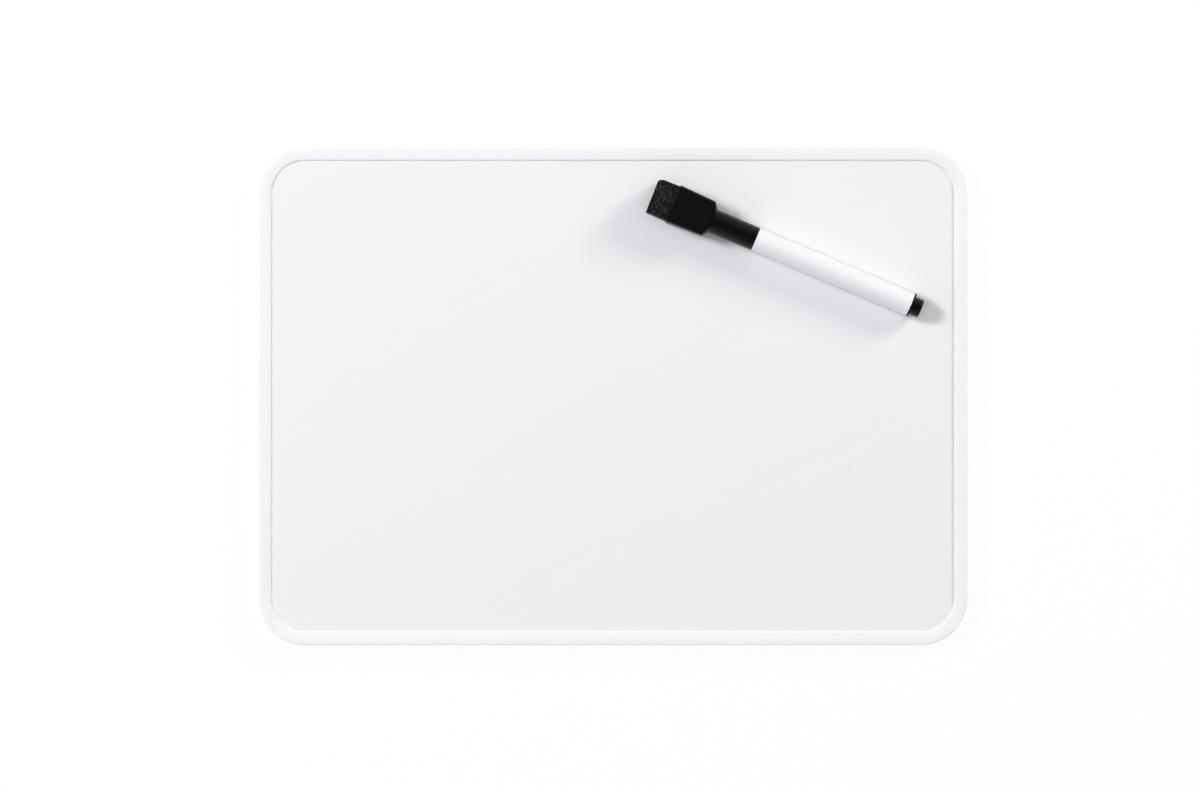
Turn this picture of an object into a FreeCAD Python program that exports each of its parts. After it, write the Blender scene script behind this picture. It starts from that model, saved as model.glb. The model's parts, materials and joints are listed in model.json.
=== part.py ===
"""Dry-erase lap board with its capped marker, as a parametric document in millimetres.

The board lies on its back: X runs along its long side, Y up the writing face, Z out of that face.
The origin is the bottom centre of the board, on the surface that it lies on.
Marker pieces are drawn about their own X axis, with the cap's stop at zero, the felt towards +X
and the tail towards -X, and are then laid on the writing face together.
"""

import FreeCAD, Part
import math
import os
import Sketcher
from types import SimpleNamespace

# Driving dimensions. Each is a cell of the sheet, in millimetres, degrees or a count.
SIZES = {
    # frame outline and rail section
    "board_length": 298.5,
    "board_width": 209.5,
    "corner_radius": 19.5,
    "frame_height": 7.0,
    "lip_width": 5.6,
    "frame_wall": 2.2,
    "crest_setback": 1.35,
    "rail_crown_radius": 17.0,
    "rail_side_radius": 0.45,
    "lip_edge_radius": 0.8,
    "lip_edge_drop": 0.26,
    "lip_step": 0.2,
    "rear_side_height": 1.2,
    "rear_lip_edge_radius": 0.6,
    # where the two frame mouldings meet
    "parting_rise": 0.9,
    "seam_chamfer": 0.2,
    "tongue_setback": 0.75,
    "tongue_thickness": 0.7,
    "tongue_height": 1.2,
    "tongue_clearance": 0.1,
    # writing panel, three bonded layers in the frame's channel
    "panel_clearance": 0.2,
    "back_sheet_thickness": 0.3,
    "core_thickness": 2.8,
    "writing_sheet_thickness": 0.4,
    # marker barrel with its moulded nose
    "barrel_length": 70.4,
    "barrel_diameter": 10.1,
    "barrel_wall": 0.7,
    "barrel_edge_radius": 0.2,
    "bore_end_setback": 1.0,
    "cap_stop_step": 0.85,
    "nose_wall": 1.1,
    "nose_chamfer": 0.6,
    "cone_length": 4.5,
    "cone_wall": 0.9,
    "holder_wall": 1.33,
    "holder_length": 2.6,
    "holder_edge_radius": 0.3,
    "bead_setback": 2.4,
    "bead_width": 1.2,
    "bead_height": 0.06,
    "rib_count": 6,
    "rib_width": 0.8,
    "rib_height": 0.5,
    "rib_root": 0.2,
    "rib_end_setback": 4.0,
    "rib_clearance": 0.05,
    # nib and ink reservoir
    "nib_diameter": 2.2,
    "nib_clearance": 0.02,
    "nib_reach": 3.4,
    "nib_taper": 2.6,
    "nib_tip_diameter": 1.2,
    "nib_tip_radius": 0.4,
    "nib_tail": 7.0,
    "nib_end_clearance": 1.9,
    "film_thickness": 0.15,
    "reservoir_end_gap": 0.1,
    # end plug
    "plug_flange_overhang": 0.1,
    "plug_flange_thickness": 0.9,
    "plug_flange_radius": 0.2,
    "plug_stub_step": 1.17,
    "plug_stub_length": 4.0,
    "plug_stub_radius": 0.45,
    "plug_insert_length": 6.0,
    "plug_lead_in": 0.4,
    "plug_wall": 1.28,
    "plug_end_wall": 1.2,
    "press_clearance": 0.02,
    "vent_count": 3,
    "vent_width": 1.0,
    "vent_depth": 0.4,
    # eraser cap
    "cap_stop_gap": 0.05,
    "cap_clearance": 0.04,
    "cap_wall": 0.68,
    "cap_neck_length": 19.6,
    "cap_neck_taper": 0.2,
    "cap_rim_radius": 0.25,
    "cap_cavity_depth": 20.4,
    "shoulder_length": 2.0,
    "shoulder_corner_radius": 3.6,
    "shoulder_margin": 0.1,
    "block_length": 16.2,
    "block_side_taper": 0.55,
    "block_top_taper": 0.6,
    "block_edge_radius": 1.1,
    "block_mouth_chamfer": 0.3,
    "seal_wall": 0.7,
    "seal_clearance": 0.05,
    "seal_overlap": 2.1,
    # felt eraser and the pocket that holds it
    "felt_width": 15.25,
    "felt_height": 10.6,
    "felt_edge_radius": 0.8,
    "felt_reach": 9.4,
    "felt_cut_length": 2.8,
    "felt_cut_depth": 1.1,
    "felt_seat_depth": 6.0,
    "felt_clearance": 0.1,
    "pocket_wall": 0.5,
    "pocket_ledge": 1.4,
    "pocket_web": 2.0,
    "pocket_rib": 1.0,
    "pocket_corner_radius": 0.6,
    # how the marker lies on the writing face
    "tail_to_rail": 14.4,
    "felt_to_rail": 7.9,
    "marker_slope": 22.95,
    "marker_rest_gap": 0.1,
    # how far cuts run past the material they remove
    "overrun": 1.0,
}
FULL_TURN = 360
HALF_TURN = 180
TINY = 1e-6


class Size:
    """A value and the sheet formula that gives it, so that sums of sizes stay bound to the sheet."""

    def __init__(self, value, formula):
        self.value = value
        self.formula = formula

    def __add__(self, other):
        return Size(self.value + other.value, f"({self.formula} + {other.formula})")

    def __sub__(self, other):
        return Size(self.value - other.value, f"({self.formula} - {other.formula})")

    def __mul__(self, share):
        return Size(self.value * share, f"({self.formula} * {share})")

    def __truediv__(self, share):
        return Size(self.value / share, f"({self.formula} / {share})")

    def __neg__(self):
        return Size(-self.value, f"(-{self.formula})")


ZERO = Size(0.0, "0")


def other_leg(longest, leg):
    """The second leg of a right triangle whose longest side and first leg are given."""
    value = math.sqrt(longest.value**2 - leg.value**2)
    return Size(value, f"sqrt({longest.formula}^2 - {leg.formula}^2)")


def make_sheet(doc):
    """The spreadsheet with one aliased cell for each driving dimension."""
    sheet = doc.addObject("Spreadsheet::Sheet", "Sizes")
    for row, (name, value) in enumerate(SIZES.items(), start=1):
        sheet.set(f"A{row}", name)
        sheet.set(f"B{row}", str(value))
        sheet.setAlias(f"B{row}", name)
    doc.recompute()
    return sheet


doc = FreeCAD.newDocument("lap_board")
sheet = make_sheet(doc)
cell = SimpleNamespace(**{name: Size(float(sheet.get(name)), f"Sizes.{name}") for name in SIZES})

# The frame's crown falls from its crest to the lip, and the panel lies a rounded edge and a step lower.
half_length = cell.board_length / 2
crown_fall = cell.rail_crown_radius - other_leg(cell.rail_crown_radius, cell.lip_width - cell.crest_setback)
lip_top = cell.frame_height - crown_fall - cell.lip_edge_drop
panel_top = lip_top - cell.lip_step
core_front = panel_top - cell.writing_sheet_thickness
core_rear = core_front - cell.core_thickness
panel_rear = core_rear - cell.back_sheet_thickness
parting = panel_rear + cell.parting_rise

# Marker radii and stations that several pieces share.
barrel_radius = cell.barrel_diameter / 2
bore_radius = barrel_radius - cell.barrel_wall
nose_radius = barrel_radius - cell.cap_stop_step
film_radius = bore_radius - cell.rib_height - cell.rib_clearance
reservoir_radius = film_radius - cell.film_thickness
nib_hole_radius = cell.nib_diameter / 2 + cell.nib_clearance
holder_radius = nib_hole_radius + cell.holder_wall
cap_bore_radius = nose_radius + cell.bead_height + cell.cap_clearance
neck_radius = cap_bore_radius + cell.cap_wall
flange_radius = barrel_radius + cell.plug_flange_overhang

# The nose is as long as the cap's cavity allows behind its cone, the nib's holder and the nib.
nib_tip = cell.cap_cavity_depth - cell.nib_end_clearance
holder_end = nib_tip - cell.nib_reach
cone_end = holder_end - cell.holder_length
nose_length = cone_end - cell.cone_length
nib_tail_end = -cell.bore_end_setback - cell.nib_tail
reservoir_rear = cell.plug_insert_length + cell.reservoir_end_gap - cell.barrel_length
flange_back = -cell.barrel_length - cell.plug_flange_thickness
stub_end = flange_back - cell.plug_stub_length

# The block's mouth is the felt with its clearance and the pocket's wall round it.
pocket_width = cell.felt_width + cell.felt_clearance * 2
pocket_height = cell.felt_height + cell.felt_clearance * 2
mouth_width = pocket_width + cell.pocket_wall * 2
mouth_height = pocket_height + cell.pocket_wall * 2
block_start = cell.cap_neck_length + cell.shoulder_length
block_end = block_start + cell.block_length
felt_seat = block_end - cell.felt_seat_depth
felt_end = block_end + cell.felt_reach


# Sketches and features

def new_body(name):
    """An empty body whose label names its piece."""
    body = doc.addObject("PartDesign::Body", name)
    body.Label = name
    return body


def origin_feature(body, role):
    """One of a body's own origin planes or axes."""
    return next(feature for feature in body.Origin.OriginFeatures if feature.Role == role)


def new_sketch(body, name, plane, offset=ZERO):
    """A sketch on one of the body's origin planes, moved along the plane's normal by offset."""
    sketch = body.newObject("Sketcher::SketchObject", f"{body.Name}_{name}")
    sketch.AttachmentSupport = [(origin_feature(body, plane), "")]
    sketch.MapMode = "FlatFace"
    sketch.setExpression("AttachmentOffset.Base.z", offset.formula)
    return sketch


def constrain(sketch, kind, *geometry):
    """A geometric constraint."""
    sketch.addConstraint(Sketcher.Constraint(kind, *geometry))


def dimension(sketch, size, kind, *geometry):
    """A dimension that follows the sheet."""
    index = sketch.addConstraint(Sketcher.Constraint(kind, *geometry, size.value))
    sketch.setExpression(f"Constraints[{index}]", size.formula)


def place_point(sketch, geometry, end, x, y):
    """Holds one point of a sketch at two coordinates that follow the sheet."""
    dimension(sketch, x, "DistanceX", -1, 1, geometry, end)
    dimension(sketch, y, "DistanceY", -1, 1, geometry, end)


def point(x, y):
    return FreeCAD.Vector(x.value, y.value, 0)


def arc_between(centre, radius, start, end):
    """The anticlockwise arc about centre between the directions of two points."""
    angles = [math.atan2(p.y - centre.y, p.x - centre.x) for p in (start, end)]
    if angles[1] < angles[0]:
        angles[1] += 2 * math.pi
    return Part.ArcOfCircle(Part.Circle(centre, FreeCAD.Vector(0, 0, 1), radius), *angles)


def outline(sketch, corners):
    """A closed outline, anticlockwise. A corner is (x, y), or (x, y, radius) where it is rounded.

    A rounded corner is an arc tangent to both edges, and a construction point on both edges keeps its place.
    """
    places = [point(corner[0], corner[1]) for corner in corners]
    count = len(places)
    starts, ends, arcs = list(places), list(places), {}
    for i, corner in enumerate(corners):
        if len(corner) < 3:
            continue
        before = (places[i - 1] - places[i]).normalize()
        after = (places[(i + 1) % count] - places[i]).normalize()
        half_angle = before.getAngle(after) / 2
        radius = corner[2].value
        ends[i] = places[i] + before * (radius / math.tan(half_angle))
        starts[i] = places[i] + after * (radius / math.tan(half_angle))
        centre = places[i] + (before + after).normalize() * (radius / math.sin(half_angle))
        outside = before.cross(after).z < 0
        tips = (ends[i], starts[i]) if outside else (starts[i], ends[i])
        arcs[i] = arc_between(centre, radius, *tips), outside
    lines = [
        sketch.addGeometry(Part.LineSegment(starts[i], ends[(i + 1) % count])) for i in range(count)
    ]
    for i, corner in enumerate(corners):
        before, after = lines[i - 1], lines[i]
        if i not in arcs:
            constrain(sketch, "Coincident", before, 2, after, 1)
            place_point(sketch, after, 1, corner[0], corner[1])
            continue
        curve, outside = arcs[i]
        arc = sketch.addGeometry(curve)
        constrain(sketch, "Tangent", before, 2, arc, 1 if outside else 2)
        constrain(sketch, "Tangent", after, 1, arc, 2 if outside else 1)
        dimension(sketch, corner[2], "Radius", arc)
        mark = sketch.addGeometry(Part.Point(places[i]), True)
        constrain(sketch, "PointOnObject", mark, 1, before)
        constrain(sketch, "PointOnObject", mark, 1, after)
        place_point(sketch, mark, 1, corner[0], corner[1])


def rectangle(sketch, width, bottom, top):
    """A square-cornered rectangle, centred on the sketch's vertical axis."""
    side = width / 2
    outline(sketch, [(-side, bottom), (side, bottom), (side, top), (-side, top)])


def rounded_rectangle(sketch, width, height, radius, middle=ZERO):
    """A rectangle with four like corners, its middle on the horizontal axis at middle."""
    left, right, top = middle - width / 2, middle + width / 2, height / 2
    outline(sketch, [(left, -top, radius), (right, -top, radius), (right, top, radius), (left, top, radius)])


def circle(sketch, radius):
    """A circle about the sketch's origin."""
    index = sketch.addGeometry(Part.Circle(FreeCAD.Vector(), FreeCAD.Vector(0, 0, 1), radius.value))
    constrain(sketch, "Coincident", index, 3, -1, 1)
    dimension(sketch, radius, "Radius", index)


def extrude(body, kind, sketch, length, reverse=False):
    """A pad or pocket along the sketch's normal, or against it, checked to have changed the volume."""
    doc.recompute()
    before = body.Shape.Volume if body.Tip else 0.0
    feature = body.newObject(f"PartDesign::{kind}", f"{sketch.Name}_{kind.lower()}")
    feature.Profile = sketch
    feature.setExpression("Length", length.formula)
    feature.Reversed = reverse
    body.Tip = feature
    doc.recompute()
    if abs(body.Shape.Volume - before) < TINY:
        raise RuntimeError(f"{feature.Name} changed nothing")
    return feature


def pad(body, sketch, length, reverse=False):
    return extrude(body, "Pad", sketch, length, reverse)


def pocket_forwards(body, sketch, length):
    """A pocket that cuts along the sketch's normal."""
    return extrude(body, "Pocket", sketch, length, reverse=True)


def pocket_backwards(body, sketch, length):
    """A pocket that cuts against the sketch's normal."""
    return extrude(body, "Pocket", sketch, length)


def revolve(body, corners):
    """A turned solid about X, from its section above that axis."""
    sketch = new_sketch(body, "section", "XZ_Plane")
    outline(sketch, corners)
    feature = body.newObject("PartDesign::Revolution", f"{body.Name}_turned")
    feature.Profile = sketch
    feature.ReferenceAxis = (sketch, ["H_Axis"])
    feature.Angle = FULL_TURN
    return feature


def polar_pattern(body, feature, count):
    """Copies of a feature spaced evenly about X."""
    pattern = body.newObject("PartDesign::PolarPattern", f"{feature.Name}_pattern")
    pattern.Originals = [feature]
    pattern.Axis = (origin_feature(body, "X_Axis"), [""])
    pattern.Angle = FULL_TURN
    pattern.setExpression("Occurrences", count.formula)
    body.Tip = pattern


def round_edges(body, name, radius, wanted):
    """A fillet on the edges of the body that wanted() accepts."""
    doc.recompute()
    base = body.Tip
    names = [f"Edge{i}" for i, edge in enumerate(base.Shape.Edges, start=1) if wanted(edge)]
    if not names:
        raise RuntimeError(f"{body.Name} has no edge for {name}")
    fillet = body.newObject("PartDesign::Fillet", f"{body.Name}_{name}")
    fillet.Base = (base, names)
    fillet.setExpression("Radius", radius.formula)
    body.Tip = fillet


# Frame

def board_path(body):
    """The frame's outer outline, which both rail sections follow."""
    path = new_sketch(body, "path", "XY_Plane")
    rounded_rectangle(path, cell.board_length, cell.board_width, cell.corner_radius)
    return path


def sweep_rail(body, section):
    """A closed frame moulding: one rail section carried round the board's outline."""
    path = board_path(body)
    doc.recompute()
    rail = body.newObject("PartDesign::AdditivePipe", f"{body.Name}_rail")
    rail.Profile = section
    rail.Spine = (path, [f"Edge{i}" for i in range(1, len(path.Shape.Edges) + 1)])


def front_rail_section(sketch):
    """The front moulding's section: round side, crown falling to a thin lip, and a groove for the tongue."""
    lip, wall = half_length - cell.lip_width, half_length - cell.frame_wall
    crest, crown_level = half_length - cell.crest_setback, cell.frame_height - cell.rail_crown_radius
    seam = cell.seam_chamfer
    groove_out = half_length - cell.tongue_setback + cell.tongue_clearance
    groove_in = half_length - cell.tongue_setback - cell.tongue_thickness - cell.tongue_clearance
    groove_top = parting + cell.tongue_height + cell.tongue_clearance

    # The side's arc touches the crown from inside and the outer wall.
    crown_centre = point(crest, crown_level)
    side_offset = cell.crest_setback - cell.rail_side_radius
    side_rise = other_leg(cell.rail_crown_radius - cell.rail_side_radius, side_offset)
    side_centre = crown_centre + point(side_offset, side_rise)
    side_top = point(half_length, crown_level + side_rise)
    shoulder = crown_centre + (side_centre - crown_centre).normalize() * cell.rail_crown_radius.value

    # The edge's arc touches the crown from inside and ends at the lip's top, so its centre is where a circle
    # about the crown's centre crosses a circle about the lip's top.
    lip_point = point(lip, lip_top)
    reach, radius = (cell.rail_crown_radius - cell.lip_edge_radius).value, cell.lip_edge_radius.value
    span = lip_point - crown_centre
    ahead = FreeCAD.Vector(span.x, span.y, 0).normalize()
    foot = (reach**2 - radius**2 + span.Length**2) / (2 * span.Length)
    aside = FreeCAD.Vector(ahead.y, -ahead.x, 0) * math.sqrt(reach**2 - foot**2)
    edge_centre = crown_centre + ahead * foot + aside
    touch = edge_centre + (edge_centre - crown_centre).normalize() * radius

    corners = [
        (lip, panel_top),
        (wall, panel_top),
        (wall, parting),
        (groove_in, parting),
        (groove_in, groove_top),
        (groove_out, groove_top),
        (groove_out, parting),
        (half_length - seam, parting),
        (half_length, parting + seam),
    ]
    places = [lip_point] + [point(*corner) for corner in corners] + [side_top]
    lines = [sketch.addGeometry(Part.LineSegment(a, b)) for a, b in zip(places, places[1:])]
    side = sketch.addGeometry(arc_between(side_centre, cell.rail_side_radius.value, side_top, shoulder))
    crown = sketch.addGeometry(arc_between(crown_centre, cell.rail_crown_radius.value, shoulder, touch))
    edge = sketch.addGeometry(arc_between(edge_centre, radius, touch, lip_point))
    for before, after, corner in zip(lines, lines[1:], corners):
        constrain(sketch, "Coincident", before, 2, after, 1)
        place_point(sketch, after, 1, *corner)
    place_point(sketch, lines[0], 1, lip, lip_top)
    constrain(sketch, "Vertical", lines[-1])
    constrain(sketch, "Tangent", lines[-1], 2, side, 1)
    constrain(sketch, "Tangent", side, 2, crown, 1)
    constrain(sketch, "Tangent", crown, 2, edge, 1)
    constrain(sketch, "Coincident", edge, 2, lines[0], 1)
    dimension(sketch, cell.rail_side_radius, "Radius", side)
    dimension(sketch, cell.rail_crown_radius, "Radius", crown)
    dimension(sketch, cell.lip_edge_radius, "Radius", edge)
    place_point(sketch, crown, 3, crest, crown_level)


def make_front_frame():
    body = new_body("front_frame")
    section = new_sketch(body, "section", "XZ_Plane")
    front_rail_section(section)
    sweep_rail(body, section)
    return body


def make_rear_frame():
    """The rear moulding: it stands on a flat ring, carries the panel, and its tongue enters the groove."""
    body = new_body("rear_frame")
    section = new_sketch(body, "section", "XZ_Plane")
    lip, wall = half_length - cell.lip_width, half_length - cell.frame_wall
    tongue_out = half_length - cell.tongue_setback
    tongue_in = tongue_out - cell.tongue_thickness
    tongue_top = parting + cell.tongue_height
    side_top = parting - cell.seam_chamfer
    outline(section, [
        (lip, ZERO, cell.rear_lip_edge_radius),
        (half_length, ZERO, side_top - cell.rear_side_height),
        (half_length, side_top),
        (half_length - cell.seam_chamfer, parting),
        (tongue_out, parting),
        (tongue_out, tongue_top),
        (tongue_in, tongue_top),
        (tongue_in, parting),
        (wall, parting),
        (wall, panel_rear),
        (lip, panel_rear),
    ])
    sweep_rail(body, section)
    return body


# Writing panel

def make_panel_layer(name, height, thickness):
    """One layer of the panel, cut to the frame's channel less a clearance all round."""
    body = new_body(name)
    inset = cell.frame_wall + cell.panel_clearance
    sketch = new_sketch(body, "outline", "XY_Plane", height)
    rounded_rectangle(
        sketch, cell.board_length - inset * 2, cell.board_width - inset * 2, cell.corner_radius - inset
    )
    pad(body, sketch, thickness)
    return body


def make_panel():
    return [
        make_panel_layer("back_sheet", panel_rear, cell.back_sheet_thickness),
        make_panel_layer("core_board", core_rear, cell.core_thickness),
        make_panel_layer("writing_sheet", core_front, cell.writing_sheet_thickness),
    ]


# Marker

def make_barrel():
    """The barrel tube with its nose: a seat and snap bead for the cap, a cone, and the nib's holder."""
    body = new_body("barrel")
    nose_bore = nose_radius - cell.nose_wall
    bead_middle = cell.bead_setback + cell.bead_width / 2
    revolve(body, [
        (-cell.barrel_length, bore_radius),
        (-cell.bore_end_setback, bore_radius),
        (-cell.bore_end_setback, nose_bore),
        (nose_length - cell.cone_wall, nose_bore),
        (cone_end - cell.cone_wall, nib_hole_radius),
        (holder_end, nib_hole_radius),
        (holder_end, holder_radius, cell.holder_edge_radius),
        (cone_end, holder_radius),
        (nose_length, nose_radius - cell.nose_chamfer),
        (nose_length - cell.nose_chamfer, nose_radius),
        (cell.bead_setback + cell.bead_width, nose_radius),
        (bead_middle, nose_radius + cell.bead_height),
        (cell.bead_setback, nose_radius),
        (ZERO, nose_radius),
        (ZERO, barrel_radius, cell.barrel_edge_radius),
        (-cell.barrel_length, barrel_radius),
    ])
    rib_start = cell.plug_insert_length + cell.rib_end_setback - cell.barrel_length
    sketch = new_sketch(body, "rib", "YZ_Plane", rib_start)
    rectangle(sketch, cell.rib_width, film_radius + cell.rib_clearance, bore_radius + cell.rib_root)
    rib = pad(body, sketch, -rib_start - cell.bore_end_setback)
    polar_pattern(body, rib, cell.rib_count)
    return body


def make_nib():
    """The fibre nib: a rod whose tip tapers to a round point and whose tail is pushed into the reservoir."""
    body = new_body("nib")
    radius, tip = cell.nib_diameter / 2, cell.nib_tip_diameter / 2
    revolve(body, [
        (nib_tail_end, ZERO),
        (nib_tip, ZERO),
        (nib_tip, tip, cell.nib_tip_radius),
        (nib_tip - cell.nib_taper, radius),
        (nib_tail_end, radius),
    ])
    return body


def make_ink_reservoir():
    """The fibre rod that holds the ink, with the blind hole that the nib's tail makes in its front."""
    body = new_body("ink_reservoir")
    hole_end = nib_tail_end - cell.nib_clearance
    revolve(body, [
        (reservoir_rear, ZERO),
        (hole_end, ZERO),
        (hole_end, nib_hole_radius),
        (-cell.bore_end_setback, nib_hole_radius),
        (-cell.bore_end_setback, reservoir_radius),
        (reservoir_rear, reservoir_radius),
    ])
    return body


def make_reservoir_film():
    """The thin wrap round the ink rod."""
    body = new_body("reservoir_film")
    revolve(body, [
        (reservoir_rear, reservoir_radius),
        (-cell.bore_end_setback, reservoir_radius),
        (-cell.bore_end_setback, film_radius),
        (reservoir_rear, film_radius),
    ])
    return body


def make_end_plug():
    """The hollow plug pressed into the barrel's tail: flange, stub and an insert with breather slots."""
    body = new_body("end_plug")
    insert = bore_radius - cell.press_clearance
    stub, core = barrel_radius - cell.plug_stub_step, insert - cell.plug_wall
    seat = -cell.barrel_length
    insert_end = seat + cell.plug_insert_length
    revolve(body, [
        (stub_end, ZERO),
        (stub_end + cell.plug_end_wall, ZERO),
        (stub_end + cell.plug_end_wall, core),
        (insert_end, core),
        (insert_end, insert - cell.plug_lead_in),
        (insert_end - cell.plug_lead_in, insert),
        (seat, insert),
        (seat, flange_radius, cell.plug_flange_radius),
        (flange_back, flange_radius, cell.plug_flange_radius),
        (flange_back, stub),
        (stub_end, stub, cell.plug_stub_radius),
    ])
    sketch = new_sketch(body, "vent", "YZ_Plane", seat)
    rectangle(sketch, cell.vent_width, insert - cell.vent_depth, insert + cell.overrun)
    vent = pocket_forwards(body, sketch, cell.plug_insert_length + cell.overrun)
    polar_pattern(body, vent, cell.vent_count)
    return body


def block_section(body, name, offset, width, height, radius):
    """One cross-section of the cap's block, square to the marker's axis."""
    sketch = new_sketch(body, name, "YZ_Plane", offset)
    rounded_rectangle(sketch, width, height, radius)
    return sketch


def make_cap():
    """The eraser cap: a tapered neck over the nose, a shoulder, and a tapered block with the felt's pocket.

    Inside, a seal tube closes round the nib's holder, and the felt sits on a ledge and a rib.
    """
    body = new_body("cap")
    neck_root = neck_radius + cell.cap_neck_taper
    shoulder = (neck_root + cell.shoulder_margin) * 2
    loft = body.newObject("PartDesign::AdditiveLoft", "cap_block")
    loft.Profile = block_section(
        body, "shoulder", cell.cap_neck_length, shoulder, shoulder, cell.shoulder_corner_radius
    )
    chamfer, radius = cell.block_mouth_chamfer, cell.block_edge_radius
    root_width = mouth_width - cell.block_side_taper * 2
    root_height = mouth_height - cell.block_top_taper * 2
    end_width, end_height = mouth_width - chamfer * 2, mouth_height - chamfer * 2
    loft.Sections = [
        block_section(body, "root", block_start, root_width, root_height, radius),
        block_section(body, "brow", block_end - chamfer, mouth_width, mouth_height, radius),
        block_section(body, "mouth", block_end, end_width, end_height, radius - chamfer),
    ]
    loft.Ruled = True
    body.Tip = loft

    body.Tip = revolve(body, [
        (cell.cap_stop_gap, ZERO),
        (cell.cap_neck_length, ZERO),
        (cell.cap_neck_length, neck_root),
        (cell.cap_stop_gap, neck_radius, cell.cap_rim_radius),
    ])

    bore_sketch = new_sketch(body, "bore", "YZ_Plane")
    circle(bore_sketch, cap_bore_radius)
    pocket_forwards(body, bore_sketch, cell.cap_cavity_depth)

    seal_inside = holder_radius + cell.seal_clearance
    seal_sketch = new_sketch(body, "seal", "YZ_Plane", cell.cap_cavity_depth)
    circle(seal_sketch, seal_inside)
    circle(seal_sketch, seal_inside + cell.seal_wall)
    pad(body, seal_sketch, cell.cap_cavity_depth - holder_end + cell.seal_overlap, reverse=True)

    seat_sketch = block_section(
        body, "felt_seat", block_end, pocket_width, pocket_height, cell.felt_edge_radius + cell.felt_clearance
    )
    pocket_backwards(body, seat_sketch, cell.felt_seat_depth)

    hollow_width = (pocket_width - cell.pocket_ledge * 2 - cell.pocket_rib) / 2
    hollow_height = pocket_height - cell.pocket_ledge * 2
    hollow_middle = (hollow_width + cell.pocket_rib) / 2
    hollow_sketch = new_sketch(body, "hollows", "YZ_Plane", felt_seat)
    for middle in (hollow_middle, -hollow_middle):
        rounded_rectangle(hollow_sketch, hollow_width, hollow_height, cell.pocket_corner_radius, middle)
    pocket_backwards(body, hollow_sketch, felt_seat - cell.cap_cavity_depth - cell.pocket_web)
    return body


def make_eraser_felt():
    """The felt block in the cap's mouth: a cut slab with soft long edges and one outer corner trimmed off."""
    body = new_body("eraser_felt")
    side = cell.felt_width / 2
    sketch = new_sketch(body, "outline", "XY_Plane", -cell.felt_height / 2)
    outline(sketch, [
        (felt_seat, -side),
        (felt_end - cell.felt_cut_length, -side),
        (felt_end, cell.felt_cut_depth - side),
        (felt_end, side),
        (felt_seat, side),
    ])
    pad(body, sketch, cell.felt_height)
    round_edges(
        body, "long_edges", cell.felt_edge_radius,
        lambda edge: edge.BoundBox.YLength < TINY and edge.BoundBox.ZLength < TINY,
    )
    return body


def marker_placement():
    """Lays the marker on the writing face, aslant in its upper right corner.

    It rests on the block's mouth and on the plug's flange, so it leans a little. Its tail keeps its distance
    from the right rail, and the felt's end keeps its distance from the top rail.
    """
    flange_x, flange_drop = flange_back.value, flange_radius.value
    brow_x, brow_drop = (block_end - cell.block_mouth_chamfer).value, (mouth_height / 2).value
    lean = math.atan2(brow_drop - flange_drop, brow_x - flange_x)
    rest = (panel_top + cell.marker_rest_gap).value
    height = rest + flange_drop * math.cos(lean) - flange_x * math.sin(lean)

    slope = math.radians(cell.marker_slope.value)
    tail_reach = -stub_end.value * math.cos(lean) * math.cos(slope)
    felt_rise = felt_end.value * math.cos(lean) * math.sin(slope)
    felt_rise += (cell.felt_width / 2).value * math.cos(slope)
    x = (half_length - cell.lip_width - cell.tail_to_rail).value - tail_reach
    y = (cell.board_width / 2 - cell.lip_width - cell.felt_to_rail).value - felt_rise

    turn = FreeCAD.Rotation(FreeCAD.Vector(0, 0, 1), HALF_TURN - cell.marker_slope.value)
    tip_up = FreeCAD.Rotation(FreeCAD.Vector(0, 1, 0), -math.degrees(lean))
    return FreeCAD.Placement(FreeCAD.Vector(x, y, height), turn.multiply(tip_up))


def make_marker():
    pieces = [
        make_barrel(),
        make_nib(),
        make_ink_reservoir(),
        make_reservoir_film(),
        make_end_plug(),
        make_cap(),
        make_eraser_felt(),
    ]
    for piece in pieces:
        piece.Placement = marker_placement()
    return pieces


def check(pieces):
    """Stops the build if any feature failed or a piece isn't one valid solid."""
    for thing in doc.Objects:
        if {"Invalid", "Error"} & set(thing.State):
            raise RuntimeError(f"{thing.Name} failed: {thing.State}")
    for piece in pieces:
        shape = piece.Shape
        if shape.isNull() or not shape.isValid() or len(shape.Solids) != 1:
            raise RuntimeError(f"{piece.Label} is not one valid solid")


def export(pieces):
    os.makedirs("parts", exist_ok=True)
    for piece in pieces:
        piece.Shape.exportStep(os.path.join("parts", f"{piece.Label}.step"))
        print(f"{piece.Label}: {piece.Shape.Volume:.1f} mm3")


pieces = [make_front_frame(), make_rear_frame(), *make_panel(), *make_marker()]
doc.recompute()
check(pieces)
export(pieces)
axis = marker_placement().Rotation.multVec(FreeCAD.Vector(1, 0, 0))
print("marker axis", axis, "through", marker_placement().Base)
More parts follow.
